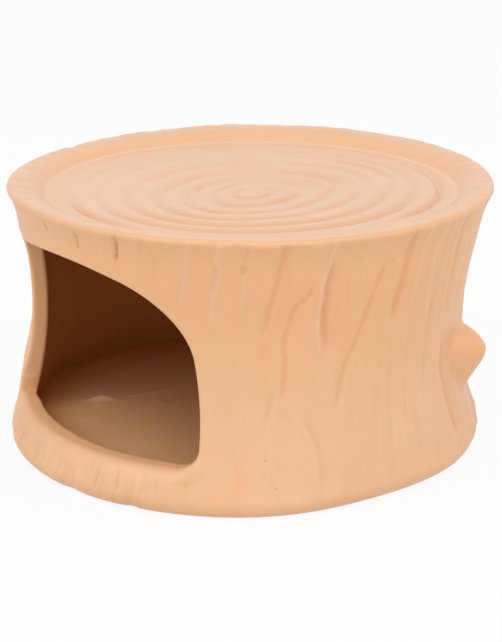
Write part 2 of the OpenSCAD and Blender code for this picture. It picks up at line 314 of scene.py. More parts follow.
# Clays: colour and roughness of each, and the gloss on the top
WALL_COLOUR, WALL_ROUGH = (0.80, 0.445, 0.232), 0.42
TOP_COLOUR, TOP_ROUGH = (0.712, 0.391, 0.202), 0.4
# The floor's clay colour, made darker and more saturated than the wall's as painted shade of the den
FLOOR_COLOUR_AND_SHADE, FLOOR_ROUGH = (0.70, 0.375, 0.18), 0.6
COIL_COLOUR, COIL_ROUGH = (0.74, 0.42, 0.23), 0.65
ROUGH_SPREAD = 0.07
TOP_COAT, COAT_ROUGH = 0.6, 0.3
# Tints that scale a clay's own colour
CLOUD_DARK, CLOUD_PALE = (0.97, 0.94, 0.9), (1.03, 1.06, 1.1)
STROKE_DARK, STROKE_PALE = (0.99, 0.9, 0.8), (1.03, 1.1, 1.22)
STREAK_PALE = (1.02, 1.12, 1.3)
GRAIN_DARK = (0.9, 0.82, 0.75)
# Painted warm shade, on the upper wall, the knot and the doorway's cut
WARM_SHADE_TINT = (1.03, 0.98, 0.86)
# Painted shade in furrows, ring valleys and the groove, and painted highlight on ridges, the bead and the
# jamb's crease
FURROW_SHADE_TINT, RIDGE_HIGHLIGHT_TINT = (0.88, 0.75, 0.62), (1.03, 1.1, 1.25)
# Painted shade of the den: its inside made darker and more saturated
DEN_SHADE_TINT = (0.72, 0.55, 0.31)
# Painted shade of the pores' pinholes
PORE_SHADE_TINT = (0.75, 0.62, 0.52)
PORE_CORE, PORE_R = 0.1, 0.45
# Scales of the clay's noise per metre, and how far the upright ones are drawn out
CLOUD_SCALE, STROKE_SCALE, STREAK_SCALE, GRAIN_SCALE = 24, 80, 300, 1700
STROKE_DRAW, STREAK_DRAW = 0.25, 0.06

# Stage, with the softboxes as (name, side azimuth, elevation, distance, power)
STAGE_HALF = 4000
PAPER_GREY, PAPER_SEEN = 0.82, 0.9
WORLD_LIGHT = 0.68
LAMP_AIM = np.array([0, 0, 45])
LAMP_SIZE = 900
SOFTBOXES = [("left_softbox", -60, 45, 1300, 3.4), ("front_softbox", 0, 50, 1300, 3.4),
             ("right_softbox", 60, 45, 1300, 3.2), ("top_softbox", 0, 89, 1200, 0.9)]

# Turns over which a value that goes by side azimuth is eased
SIDE_EASE = (-8, -4, 0, 4, 8)


def smooth(t):
    """Eases from 0 to 1 as t does."""
    t = np.clip(t, 0, 1)
    return t * t * (3 - 2 * t)


def bell(u, width):
    return np.exp(-((u / width) ** 2))


def around(az):
    """An azimuth or a difference of azimuths, brought to -180 to 180."""
    return (az + 180) % 360 - 180


def direction(az):
    """Unit vectors that point out of the axis at these azimuths."""
    turn = np.radians(az)
    return np.stack([np.sin(turn), -np.cos(turn), np.zeros_like(turn)], axis=-1)


def place(az, r, z):
    """Points at these azimuths, radii and heights."""
    az, r, z = np.broadcast_arrays(az, r, z)
    points = direction(az) * r[..., None]
    points[..., 2] = z
    return points


def along(az, at, r):
    """Distances on a circle of radius r from a side azimuth to these azimuths."""
    return np.radians(around(az - CAMERA_AZ - at)) * r


def eased(pairs, angle, turns):
    """Values at these angles, between pairs of an angle and a value, as means over the turns."""
    at, values = np.array(pairs).T
    return sum(np.interp(angle + turn, at, values, period=360) for turn in turns) / len(turns)


def by_side(pairs, az):
    """Values at these azimuths, eased between pairs of a side azimuth and a value."""
    return eased(pairs, az - CAMERA_AZ, SIDE_EASE)


def bumps(spots, az, z, r):
    """Height of bumps (side azimuth, z, width, height, lift) at points of the wall of radius r."""
    return sum(lift * bell(along(az, at, r), width) * bell(z - high, tall)
               for at, high, width, tall, lift in spots)


def notches(spots, az, r):
    """Depth of notches (side azimuth, depth, width) round a circle of radius r."""
    return sum(depth * bell(along(az, at, r), width) for at, depth, width in spots)


def waves(wave, az, z):
    """A wave's height at these azimuths and heights."""
    draw = np.random.default_rng(wave.seed)
    total = np.zeros(np.broadcast(az, z).shape)
    for _ in range(wave.count):
        turns = draw.integers(wave.slow, wave.fast + 1)
        climb = draw.uniform(-1, 1) * 2 * math.pi / wave.z_length
        total += np.sin(np.radians(az) * turns + z * climb + draw.uniform(0, 2 * math.pi))
    return wave.lift * total / math.sqrt(wave.count / 2)


def waist_arc(step_in, rise, corner):
    """Radius of the arc that leaves the waist upright and ends on a corner circle."""
    return (step_in**2 + rise**2 - corner**2) / (2 * (corner + step_in))


UPPER_ARC = waist_arc(RIM_R - LIP_R - WAIST_R, STUMP_H - LIP_R - WAIST_Z, LIP_R)
LOWER_ARC = waist_arc(BASE_R - FOOT_R - WAIST_R, WAIST_Z - FOOT_R, FOOT_R)


class Barrel:
    """A waisted side, pushed in by inset, with a corner circle at each end."""

    def __init__(self, inset, low_z, low_r, high_z, high_r):
        self.inset = inset
        self.low = self.corner(LOWER_ARC, low_r, low_z + low_r)
        self.high = self.corner(UPPER_ARC, high_r, high_z - high_r)

    def corner(self, arc, r, z):
        """Middle (x, z), radius and touching height of a corner circle."""
        reach = arc + self.inset + r
        x = WAIST_R + arc - math.sqrt(reach**2 - (z - WAIST_Z) ** 2)
        return x, z, r, WAIST_Z + (z - WAIST_Z) * (arc + self.inset) / reach

    def radius(self, z):
        arc = np.where(z > WAIST_Z, UPPER_ARC, LOWER_ARC)
        side = WAIST_R + arc - np.sqrt((arc + self.inset) ** 2 - (z - WAIST_Z) ** 2)
        for x, middle, r, touch in (self.low, self.high):
            past = z < touch if middle < WAIST_Z else z > touch
            side = np.where(past, x + np.sqrt(np.maximum(r**2 - (z - middle) ** 2, 0)), side)
        return side

    def corner_rows(self, corner, count):
        """Heights from a corner circle's flat end to where it touches the side."""
        _, middle, r, touch = corner
        flat = math.copysign(math.pi / 2, middle - WAIST_Z)
        turn = np.linspace(flat, math.asin((touch - middle) / r), count)
        return middle + r * np.sin(turn)

    def az_at(self, x, z):
        """Azimuths at which the side lies at these x and heights."""
        return np.degrees(np.arcsin(x / self.radius(z)))


OUTER = Barrel(0, 0, FOOT_R, STUMP_H, LIP_R)
INNER = Barrel(WALL_T, FLOOR_Z, FLOOR_CORNER_R, SHOULDER_Z, SHOULDER_CORNER_R)


def wild_furrows():
    """Furrows of the unseen side, in the manner of the ones that show."""
    draw = np.random.default_rng(WILD_SEED)
    made = []
    for i in range(WILD_COUNT):
        az = WILD_FROM + (i + draw.uniform(0.1, 0.9)) * (WILD_TO - WILD_FROM) / WILD_COUNT - CAMERA_AZ
        length = draw.uniform(*WILD_LENGTH)
        top = STUMP_H if draw.random() < 0.5 else draw.uniform(*WILD_TOP)
        foot = max(top - length, WILD_FOOT)
        lean = draw.uniform(*WILD_LEAN)
        bend = draw.uniform(*WILD_BEND)
        path = [(az, top), (az + lean / 2 + bend, (top + foot) / 2), (az + lean, foot)]
        steep_left = draw.random() < 0.5
        flanks = [WILD_STEEP, draw.uniform(*WILD_EASY)]
        made.append(Furrow(path, draw.choice(WILD_DEPTHS), *(flanks if steep_left else flanks[::-1])))
    return made


ALL_FURROWS = FURROWS + wild_furrows()


def furrow_height(az, z):
    """Height of the furrows, ridges and dabs at these points of the wall."""
    radius = OUTER.radius(np.clip(z, 0, STUMP_H))
    total = np.zeros(np.broadcast(az, z).shape)
    for furrow in ALL_FURROWS:
        path_az, path_z = np.array(furrow.path[::-1]).T
        u = along(az, np.interp(z, path_z, path_az), radius)
        groove = np.where(u < 0, bell(u, furrow.left), bell(u, furrow.right))
        reach = smooth((z - path_z[0]) / furrow.fade)
        if path_z[-1] < STUMP_H:
            reach = reach * smooth((path_z[-1] - z) / furrow.fade)
        total -= furrow.depth * groove * reach
    return total + bumps(DABS, az, z, radius)


def knot_spot(az, z):
    """Distances of points along the wall from the knot's tip, to the right and up."""
    return np.radians(around(az - KNOT_AZ)) * OUTER.radius(np.clip(z, 0, STUMP_H)), z - KNOT_Z


def knot_form(az, z):
    """How far points lie from the knot's tip, as a share of its footprint's reach, and its height there."""
    u, v = knot_spot(az, z)
    angle = np.arctan2(v, u)
    share = np.hypot(u, v) / eased(KNOT_FOOT, np.degrees(angle) % 360, KNOT_EASE)
    blunt = math.hypot(1, KNOT_BLUNT)
    cone = np.maximum(blunt - np.hypot(share, KNOT_BLUNT), 0) / (blunt - KNOT_BLUNT)
    lower = cone**KNOT_HOLLOW
    upper = 1 - np.clip(share, 0, 1) ** KNOT_FULL
    return share, KNOT_REACH * (lower + (upper - lower) * smooth(np.sin(angle) / 0.9 + 0.3))


def bark(az, z):
    """Height of the bark over the barrel's side, and the depth of the furrows in it, below 0 on ridges."""
    furrows = furrow_height(az, z)
    turned = abs(around(az - CAMERA_AZ))
    plain = PLAIN_SHARE * smooth((turned - PLAIN_FROM) / 15) * smooth((PLAIN_TO - turned) / 20)
    patchy = smooth(0.5 + waves(BARK_PATCHES, az, z))
    fine = (1 - plain) * patchy * (waves(BARK_FLUTES, az, z) + waves(BARK_RIPPLE, az, z))
    u, v = knot_spot(az, z)
    dent = DENT * bell(u - DENT_AT[0], DENT_SIZE[0]) * bell(v - DENT_AT[1], DENT_SIZE[1])
    height = waves(BARK_SWELL, az, z) + fine + waves(BARK_DIMPLES, az, z) + furrows - dent
    return height, np.clip(-furrows, -1, 1)


def rim_wave(az):
    """Unevenness of the rim's height."""
    return waves(RIM_SLOW, az, 0) + waves(RIM_FAST, az, 0) - notches(RIM_NOTCHES, az, RIM_R)


def warm_shade_share(z):
    """Share of the upper wall's painted warm shade at these heights."""
    return smooth((z - WARM_SHADE_Z) / WARM_SHADE_SPAN)


def side_point(az, z, knot_share=None):
    """Points and shades of the wall's outer side. A knot_share below 1 leaves room for the knot."""
    az, z = np.broadcast_arrays(np.asarray(az, float), np.asarray(z, float))
    height, furrows = bark(az, z)
    height = height * edge_calm(az, z) - TUCK * bell(z - TUCK_Z, TUCK_SPAN)
    weight = smooth((z - 0.3) / BARK_EDGE)
    weight = weight * (1 - RIM_CALM * smooth((z - STUMP_H + BARK_EDGE) / BARK_EDGE))
    share, knot = knot_form(az, z)
    if knot_share is not None:
        knot = knot * smooth((share - knot_share + KNOT_BED) / (KNOT_BED - 0.02))
        knot -= KNOT_BED_GAP * smooth((knot_share - share) / 0.02)
    weight = weight * (1 - KNOT_CALM * smooth((1 - share) / 0.3))
    notch = notches(FOOT_NOTCHES, az, BASE_R) * (1 - smooth(z / FOOT_NOTCH_H)) * smooth((z + 2) / 4)
    flat = FOOT_FLAT * bell(around(az - CAMERA_AZ - FOOT_FLAT_AZ), FOOT_FLAT_SPAN)
    flat = flat * (1 - smooth(z / FOOT_FLAT_H))
    r = OUTER.radius(z) + height * weight + knot + bumps(SWELLS, az, z, BASE_R) - notch - flat
    lift = rim_wave(az) * smooth((z - STUMP_H + RIM_WAVE_H) / RIM_WAVE_H)
    # Painted warm shade on the upper wall, and on the knot for the warm light bounced under it
    warm = np.maximum(warm_shade_share(z), smooth(knot / 3))
    top = 0.9 * smooth((z - STUMP_H + LIP_R) / LIP_R)
    return place(az, r, z + lift), {"furrow": furrows * weight, "warm": warm, "top": top}


def leaned(points):
    """Points moved sideways with their height, as the hand-made stump leans."""
    return points + (LEAN * (points[:, 2:3] / STUMP_H - 0.5)) * CAMERA_SIDE


def add_object(name, data):
    """A new object of this data, in the scene."""
    obj = bpy.data.objects.new(name, data)
    bpy.context.scene.collection.objects.link(obj)
    return obj


class Shell:
    """The points, shades and faces of one piece.

    The shades are the depth of a furrow or valley, below 0 on a ridge, which drives painted shade and painted
    highlight, the share of the den's painted shade, the share of the top's glossier clay and the share of the
    painted warm shade.
    """

    def __init__(self):
        self.points, self.faces, self.count = [], [], 0
        self.shades = {"furrow": [], "den": [], "top": [], "warm": []}

    def add(self, points, **shades):
        """Adds points, and returns their numbers in the same arrangement."""
        shape = points.shape[:-1]
        self.points.append(points.reshape(-1, 3))
        for name, values in self.shades.items():
            values.append(np.broadcast_to(shades.get(name, 0.0), shape).reshape(-1))
        first, self.count = self.count, self.count + len(self.points[-1])
        return np.arange(first, self.count).reshape(shape)

    def band(self, a, b, closed=True):
        """Quads between two rows of as many points."""
        if closed:
            a, b = np.append(a, a[0]), np.append(b, b[0])
        self.faces += np.stack([a[:-1], a[1:], b[1:], b[:-1]], axis=1).tolist()

    def bands(self, rows):
        for a, b in zip(rows[:-1], rows[1:]):
            self.band(a, b)

    def bands_past(self, rows, gap_rows, first, last):
        """Quads between closed rows, left open from column first to last on the gap's rows."""
        for i, (a, b) in enumerate(zip(rows[:-1], rows[1:])):
            if i in gap_rows:
                a, b = [np.concatenate([row[last:], row[:first + 1]]) for row in (a, b)]
            self.band(a, b, closed=i not in gap_rows)

    def halve(self, fine, coarse):
        """Faces between a closed row and one with half as many points."""
        fine, coarse = np.append(fine, fine[0]), np.append(coarse, coarse[0])
        start, middle, end = fine[:-1:2], fine[1::2], fine[2::2]
        here, there = coarse[:-1], coarse[1:]
        for corners in ((start, middle, here), (middle, there, here), (middle, end, there)):
            self.faces += np.stack(corners, axis=1).tolist()

    def fan(self, row, middle):
        """Triangles from a closed row to one point."""
        turned = np.roll(row, -1)
        self.faces += np.stack([row, turned, np.full_like(row, middle)], axis=1).tolist()

    def cap(self, row, z):
        """Triangles from a closed row to the axis at this height."""
        self.fan(row, self.add(np.array([[0, 0, z]]))[0])

    def piece(self, name, material, slot, *nodes):
        """Makes the object, which rides on the root body and stands for these nodes."""
        points = leaned(np.concatenate(self.points)) * MM
        mesh = bpy.data.meshes.new(name)
        mesh.from_pydata(points.tolist(), [], self.faces)
        for shade, values in self.shades.items():
            values = np.concatenate(values).astype(np.float32)
            mesh.attributes.new(shade, "FLOAT", "POINT").data.foreach_set("value", values)
        work = bmesh.new()
        work.from_mesh(mesh)
        loose = [vertex for vertex in work.verts if not vertex.link_faces]
        bmesh.ops.delete(work, geom=loose, context="VERTS")
        bmesh.ops.recalc_face_normals(work, faces=work.faces)
        work.to_mesh(mesh)
        work.free()
        mesh.polygons.foreach_set("use_smooth", [True] * len(mesh.polygons))
        mesh.set_sharp_from_angle(angle=SHARP_ANGLE)
        obj = add_object(name, mesh)
        mesh.materials.append(material)
        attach(obj, "root")
        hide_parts(*nodes)


def door_half(side):
    """Points (x, z) of one side of the doorway's edge and their turn from upright, from the apex down."""
    crown_mid = np.array([0, DOOR_APEX - side.crown_r])
    shoulder_x = side.top_half - side.shoulder_r
    rise = math.sqrt((side.crown_r - side.shoulder_r) ** 2 - shoulder_x**2)
    shoulder_mid = crown_mid + [shoulder_x, rise]
    corner_mid = np.array([side.foot_half - side.corner_r, SILL_Z + side.corner_r])
    crown_turn = math.degrees(math.asin(shoulder_x / (side.crown_r - side.shoulder_r)))
    run = corner_mid - shoulder_mid
    length = np.hypot(*run)
    lean = (side.shoulder_r - side.corner_r) / length
    out = (run * lean + np.array([-run[1], run[0]]) * math.sqrt(1 - lean**2)) / length
    jamb_turn = math.degrees(math.atan2(out[0], out[1]))
    stretches = [(crown_mid, side.crown_r, 0, crown_turn),
                 (shoulder_mid, side.shoulder_r, crown_turn, jamb_turn),
                 (corner_mid, side.corner_r, jamb_turn, 180)]
    parts = []
    for middle, r, start, end in stretches:
        turn = np.linspace(start, end, ARC_POINTS)
        rad = np.radians(turn)
        parts.append([middle[0] + r * np.sin(rad), middle[1] + r * np.cos(rad), turn])
    sill_x = np.linspace(corner_mid[0], 0, ARC_POINTS)[1:]
    parts.append([sill_x, np.full_like(sill_x, SILL_Z), np.full_like(sill_x, 180)])
    return np.concatenate(parts, axis=1)


def door_outline():
    """Points (x, z) of the doorway's edge and their turn from upright, clockwise from the apex."""
    x, z, turns = door_half(DOOR_LEFT)[:, -2:0:-1]
    return np.concatenate([door_half(DOOR_RIGHT), [-x, z, 360 - turns]], axis=1)


def door_rays(az, z):
    """The doorway's edge (x, z, turn) on rays from its middle through these points of the wall."""
    x, edge_z, turns = door_outline()
    loop = 2 * math.pi
    edge_angle = np.unwrap(np.arctan2(OUTER.az_at(x, edge_z) * DEGREE_W, edge_z - DOOR_MIDDLE_Z))
    angle = np.arctan2(az * DEGREE_W, z - DOOR_MIDDLE_Z) % loop
    known = np.append(edge_angle, edge_angle[0] + loop)
    closed = [np.append(x, x[0]), np.append(edge_z, edge_z[0]), np.append(turns, 360.0)]
    return [np.interp(angle, known, values) for values in closed]


def edge_calm(az, z):
    """Share of the bark's height that is left at these points, less of it close to the doorway."""
    x, edge_z, turn = door_rays(az, z)
    edge_reach = np.hypot(OUTER.az_at(x, edge_z) * DEGREE_W, edge_z - DOOR_MIDDLE_Z)
    past = np.hypot(az * DEGREE_W, z - DOOR_MIDDLE_Z) - edge_reach
    past = past - np.interp(turn, EDGE_TURNS, EDGE_ROUNDS)
    return EDGE_RUGGED + (1 - EDGE_RUGGED) * smooth(past / EDGE_CALM_W)


def groove_share(r, az):
    """Share of the depth of the groove around the dish."""
    return bell(r - by_side(GROOVE_R, az), GROOVE_W) * by_side(GROOVE_FADE, az)


def bead_share(r, az):
    """Share of the height of the bead at the foot of the rim's slope."""
    return bell(r - by_side(DISH_R, az) + BEAD_IN, BEAD_W) * by_side(BEAD_FADE, az)


def top_height(r, az):
    """Height of the top without its rings: a dish, a groove, a bead and the slope up to the rim."""
    dish = DISH_EDGE_Z - DISH_SAG * smooth((SAG_FROM - r) / (SAG_FROM - SAG_TO))
    foot_r = by_side(DISH_R, az)
    t = np.maximum(r - foot_r, 0) / (OUTER.high[0] - foot_r)
    slope = (STUMP_H - DISH_EDGE_Z) * (1 - (1 - t) ** SLOPE_CURVE)
    return dish + slope - GROOVE_DEPTH * groove_share(r, az) + BEAD_LIFT * bead_share(r, az)


def inner_point(az, z):
    """Points of the den's wall."""
    az, z = np.broadcast_arrays(np.asarray(az, float), np.asarray(z, float))
    free = smooth((z - FLOOR_Z) / 6) * smooth((SHOULDER_Z - z) / 4)
    return place(az, INNER.radius(z) + free * waves(DEN_SWELL, az, z), z)


def wall_columns():
    """Azimuths of the wall's columns, even in number between these stops."""
    stops = [-180, -DOOR_SPAN, FINE_FROM, DOOR_SPAN, FINE_TO, 180]
    steps = [COLUMN_WIDE, COLUMN_WIDE / 2, COLUMN_FINE, COLUMN_FINE, COLUMN_WIDE]
    columns = []
    for start, end, step in zip(stops[:-1], stops[1:], steps):
        count = 2 * int(round((end - start) / step / 2))
        columns.append(np.linspace(start, end, count + 1)[:-1])
    return np.concatenate(columns)


def rim_rows(shell, az):
    """Rows of the rim's top, from the joint around the roof out to the lip."""
    crest_bark = CREST_BARK * bark(az, np.full(len(az), STUMP_H))[0]
    rows = []
    for t in np.linspace(0, 1, RIM_ROWS + 1)[:-1]:
        r = ROOF_R + (OUTER.high[0] - ROOF_R) * t
        z = top_height(r, az) + rim_wave(az) * smooth(t)
        past = r - by_side(DISH_R, az)
        slope = smooth((past + 1) / 2.5) * (1 - smooth((past - 4) / 5)) * by_side(SLOPE_FADE, az)
        # Painted shade in the groove round the dish, and painted highlight on the bead
        furrow = groove_share(r, az) - 0.5 * bead_share(r, az)
        points = place(az, r + crest_bark * smooth((t - 0.5) / 0.5), z)
        rows.append(shell.add(points, top=1 - SLOPE_CLAY * slope, furrow=furrow))
    return rows


def outer_rows(shell, az):
    """Rows of the wall's outer face, from the roof's joint down to the floor's, and the doorway's first."""
    rows = rim_rows(shell, az)
    lip = OUTER.corner_rows(OUTER.high, LIP_ROWS)
    high = np.linspace(lip[-1], DOOR_HEIGHTS[0], 5)[1:-1]
    foot = OUTER.corner_rows(OUTER.low, FOOT_ROWS)[::-1]
    foot = foot[foot < DOOR_HEIGHTS[-1] - ROW_GAP]
    door_first = len(rows) + len(lip) + len(high)
    for z in np.concatenate([lip, high, DOOR_HEIGHTS, foot]):
        points, shades = side_point(az, z, KNOT_JOINT)
        rows.append(shell.add(points, **shades))
    rows += [shell.add(place(az, r, 0.0)) for r in (FLOOR_R + FOOT_ROW_W, FLOOR_R)]
    return rows, door_first


def inner_rows(shell, az):
    """Rows of the wall's inner face, from the floor's joint up to the roof's, and the doorway's first."""
    lower = [(FLOOR_R, FLOOR_STEP_Z), (FLOOR_HOLE_R, FLOOR_STEP_Z), (FLOOR_HOLE_R, FLOOR_Z)]
    upper = [(r, SHOULDER_Z) for r in SHOULDER_RADII]
    upper += [(ROOF_HOLE_R, ROOF_SEAT_Z), (ROOF_R, ROOF_SEAT_Z)]
    # The den's wall and the ring by the floor get the den's painted shade
    rows = [shell.add(place(az, r, z), den=RING_DEN_SHADE) for r, z in lower]
    corner = INNER.corner_rows(INNER.low, CORNER_ROWS)
    corner = corner[corner < INNER_HEIGHTS[-1] - ROW_GAP]
    door_first = len(rows) + len(corner)
    for z in np.concatenate([corner, INNER_HEIGHTS[::-2], [SHOULDER_Z - 0.3, SHOULDER_Z]]):
        rows.append(shell.add(inner_point(az, z), den=1.0))
    rows += [shell.add(place(az, r, z), den=1.0) for r, z in upper]
    return rows, door_first


def frame_of(grid, left, right):
    """The closed row round the doorway in a grid of its rows, clockwise from the upper left."""
    return np.concatenate([grid[0, left:right], grid[:-1, right], grid[-1, right:left:-1], grid[:0:-1, left]])


def rounded(edge, rounding, turn):
    """The doorway's edge moved out along a quarter round, and how far it is sunk there."""
    x, z, outward = edge
    offset, sink = rounding * (1 - math.sin(turn)), rounding * (1 - math.cos(turn))
    return x + np.sin(np.radians(outward)) * offset, z + np.cos(np.radians(outward)) * offset, sink


def outer_edge(shell, edge, frame_az, frame_z):
    """Rows from the doorway's outer lip round on to the wall, and the lip's points."""
    rounding = np.interp(edge[2], EDGE_TURNS, EDGE_ROUNDS)
    rows = []
    for turn in np.radians(np.linspace(90, 0, EDGE_STEPS)):
        x, z, sink = rounded(edge, rounding, turn)
        az = OUTER.az_at(x, z)
        points, shades = side_point(az, z)
        points -= direction(az * CUT_TURN) * sink[:, None]
        rows.append((points, shades))
    for t in np.linspace(0, 1, OUTER_SPREAD + 1)[1:-1] ** SPREAD_EASE:
        rows.append(side_point(az + (frame_az - az) * t, z + (frame_z - z) * t))
    return [shell.add(points, **shades) for points, shades in rows], rows[0][0]


def inner_edge(shell, edge, frame_az, frame_z):
    """Rows from the doorway's inner lip round on to the den's wall, and the lip's points."""
    from_jamb = np.minimum(DOOR_LEFT.foot_half + edge[0], DOOR_RIGHT.foot_half - edge[0])
    deep = SILL_DEEP * (smooth(from_jamb / SILL_DEEP_IN) * smooth((SILL_Z + 3 - edge[1]) / 2))[:, None]
    rows = []
    for turn in np.radians(np.linspace(90, 0, INNER_STEPS)):
        x, z, sink = rounded(edge, INNER_ROUND, turn)
        straight_az, square_az = INNER.az_at(x, z), OUTER.az_at(x, z)
        az = straight_az + (square_az - straight_az) * CUT_TURN
        points = inner_point(az, z) + direction(az * CUT_TURN) * sink - direction(az) * deep
        # The den's painted shade comes in over the inner rounding
        rows.append((points, 1 - turn / (math.pi / 2)))
    for t in np.linspace(0, 1, INNER_SPREAD + 1)[1:-1]:
        row_az = az + (frame_az - az) * t
        points = inner_point(row_az, z + (frame_z - z) * t) - direction(row_az) * deep * (1 - t) ** 2
        rows.append((points, 1.0))
    return [shell.add(points, den=den) for points, den in rows], rows[0][0]


def jamb_rows(shell, outward, outer_lip, inner_lip):
    """Rows of the cut through the wall, with a crease across its left side."""
    left_side = smooth((CREASE_SPAN - abs(outward - CREASE_TURN)) / 10)
    rows = []
    for t in np.linspace(0, 1, JAMB_STEPS + 1)[1:-1]:
        points = outer_lip + (inner_lip - outer_lip) * t
        crease_z = CREASE_Z[0] + (CREASE_Z[1] - CREASE_Z[0]) * t
        crease = bell(points[:, 2] - crease_z, CREASE_W) * left_side
        points[:, 0] += CREASE_LIFT * crease
        # Painted highlight on the crease, and painted warm shade all over the cut
        rows.append(shell.add(points, furrow=-0.5 * crease, warm=1.0))
    return rows


def build_wall(material):
    """The barrel: an outer face and an inner one with half its columns, joined at the doorway and ends."""
    shell = Shell()
    az = wall_columns()
    columns = [int(np.argmin(abs(az - side))) for side in (-DOOR_SPAN, DOOR_SPAN)]
    inner_columns = [column // 2 for column in columns]
    outer, outer_first = outer_rows(shell, az)
    inner, inner_first = inner_rows(shell, az[::2])
    outer_last, inner_last = outer_first + DOOR_ROWS, inner_first + DOOR_ROWS // 2
    shell.bands_past(outer, range(outer_first, outer_last), *columns)
    shell.bands_past(inner, range(inner_first, inner_last), *inner_columns)
    shell.halve(outer[-1], inner[0])
    shell.halve(outer[0], inner[-1])

    outer_frame = frame_of(np.array(outer[outer_first:outer_last + 1]), *columns)
    inner_frame = frame_of(np.array(inner[inner_first:inner_last + 1])[::-1], *inner_columns)
    heights, azimuths = np.meshgrid(DOOR_HEIGHTS, az, indexing="ij")
    inner_heights, _ = np.meshgrid(INNER_HEIGHTS, az, indexing="ij")
    frame_az, frame_z = frame_of(azimuths, *columns), frame_of(heights, *columns)
    edge = door_rays(frame_az, frame_z)
    on_wall, outer_lip = outer_edge(shell, edge, frame_az, frame_z)
    in_den, inner_lip = inner_edge(shell, edge, frame_az, frame_of(inner_heights, *columns))
    cut = jamb_rows(shell, edge[2], outer_lip, inner_lip)
    shell.bands(on_wall + [outer_frame])
    shell.bands([on_wall[0]] + cut + in_den)
    shell.halve(in_den[-1], inner_frame)
    shell.piece("stump_bark", material, "terracotta_wall", "stump_wall")


def build_knot(material):
    """The branch stub, as a lump luted on to the wall."""
    shell = Shell()
    angle = np.arange(KNOT_POINTS) * 360 / KNOT_POINTS
    shares = np.linspace(0, KNOT_JOINT + KNOT_OVER, KNOT_ROWS)[1:]

    def at(share, sink):
        reach = eased(KNOT_FOOT, angle, KNOT_EASE) * share
        z = KNOT_Z + reach * np.sin(np.radians(angle))
        az = KNOT_AZ + np.degrees(reach * np.cos(np.radians(angle)) / OUTER.radius(z))
        points, shades = side_point(az, z)
        return points - direction(az) * sink, shades

    rows = []
    for share in shares:
        points, shades = at(share, KNOT_SINK * smooth((share - KNOT_JOINT) / KNOT_OVER))
        rows.append(shell.add(points, **shades))
    tip = shell.add(side_point([KNOT_AZ], [KNOT_Z])[0], warm=warm_shade_share(KNOT_Z))
    shell.fan(rows[0], tip[0])
    shell.bands(rows)
    back = shell.add(at(shares[-1], KNOT_BACK)[0])
    shell.band(rows[-1], back)
    middle = place(np.array([KNOT_AZ]), WAIST_R - KNOT_BACK, np.array([KNOT_Z]))
    shell.fan(back, shell.add(middle)[0])
    shell.piece("branch_stub", material, "terracotta_wall", "branch_knot")


def ring_point(q, az):
    """Points of the ringed top, and the painted shade of its valleys and of the groove round the dish.

    q counts the rings out from the pith to RING_END at the disc's edge. A valley lies at each whole number,
    and moves in by up to a whole ring where the rings run into each other.
    """
    q = np.full(az.shape, float(q))
    radius = np.interp(q, range(RING_END + 1), [0] + RING_R + [ROOF_R])
    free = smooth((q - 0.3) / 2.8) * (1 - 0.7 * smooth((q - 3.8) / 2.4)) * (1 - (q / RING_END) ** 14)
    stray = by_side(RING_STRAY, az) + waves(RING_SLOW, az, q) + waves(RING_FAST, az, q)
    strayed = radius + stray * free
    joined = smooth(0.5 + (RING_JOIN_AZ - around(az - CAMERA_AZ)) / RING_JOIN_SPAN)
    fade = by_side(RING_FADE, az) * (1 - RING_JOIN_FAINT * joined * smooth((q - 3) / 2))
    joined *= RING_JOIN_PITH + (RING_JOIN_EDGE - RING_JOIN_PITH) * smooth((q - 0.8) / 3.2)
    ridge = np.sqrt(np.sin(math.pi * (q + joined)) ** 2 + RING_BLUNT) - math.sqrt(RING_BLUNT)
    valley = (1 - ridge / (math.sqrt(1 + RING_BLUNT) - math.sqrt(RING_BLUNT))) ** RING_NARROW
    valley = valley * smooth((q - 0.25) / 0.5) * smooth((RING_COUNT + 0.7 - q) / 0.5)
    depth = RING_DEPTH * fade * (0.6 + 0.4 * smooth((q - 1) / 2)) * (1 + waves(RING_UNEVEN, az, q))
    # Painted shade in the ring valleys and the groove
    shade = np.maximum(0.7 * valley * fade, groove_share(strayed, az))
    return place(az, strayed, top_height(strayed, az) - depth * valley), shade


def build_roof(material):
    """The ringed disc that closes the top."""
    shell = Shell()
    rows = []
    for q in np.linspace(0, RING_END, RING_END * RING_STEPS + 1)[1:]:
        points, valley = ring_point(q, DISC_AZ)
        rows.append(shell.add(points, furrow=valley))
    middle, valley = ring_point(0.0, DISC_AZ[:1])
    shell.fan(rows[0], shell.add(middle, furrow=valley)[0])
    shell.bands(rows)
    under = [shell.add(place(DISC_AZ, r, ROOF_SEAT_Z)) for r in (ROOF_R, ROOF_HOLE_R, ROOF_UNDER_R)]
    shell.bands([rows[-1]] + under)
    shell.cap(under[-1], ROOF_SEAT_Z)
    shell.piece("ringed_top", material, "terracotta_top", "ringed_roof")


def floor_relief(r):
    """Heights of the den's floor over its level on a circle, where the clay was smeared by hand."""
    points = place(DISC_AZ, r, 0)
    swell = waves(FLOOR_SWELL, DISC_AZ, r) * smooth((FLOOR_HOLE_R - r) / 12) * smooth(r / 15)
    side, away = points @ CAMERA_SIDE, points @ -direction(np.array(float(CAMERA_AZ)))
    lump = LUMP_LIFT * bell(side - LUMP_AT[0], LUMP_SIZE[0]) * bell(away - LUMP_AT[1], LUMP_SIZE[1])
    share = np.clip((side - SMEAR_FROM[0]) / (SMEAR_TO[0] - SMEAR_FROM[0]), 0, 1)
    line = SMEAR_FROM[1] + (SMEAR_TO[1] - SMEAR_FROM[1]) * share
    smear = SMEAR_LIFT * bell(away - line, SMEAR_W) * smooth(share / 0.15) * smooth((1 - share) / 0.3)
    return swell + lump + smear


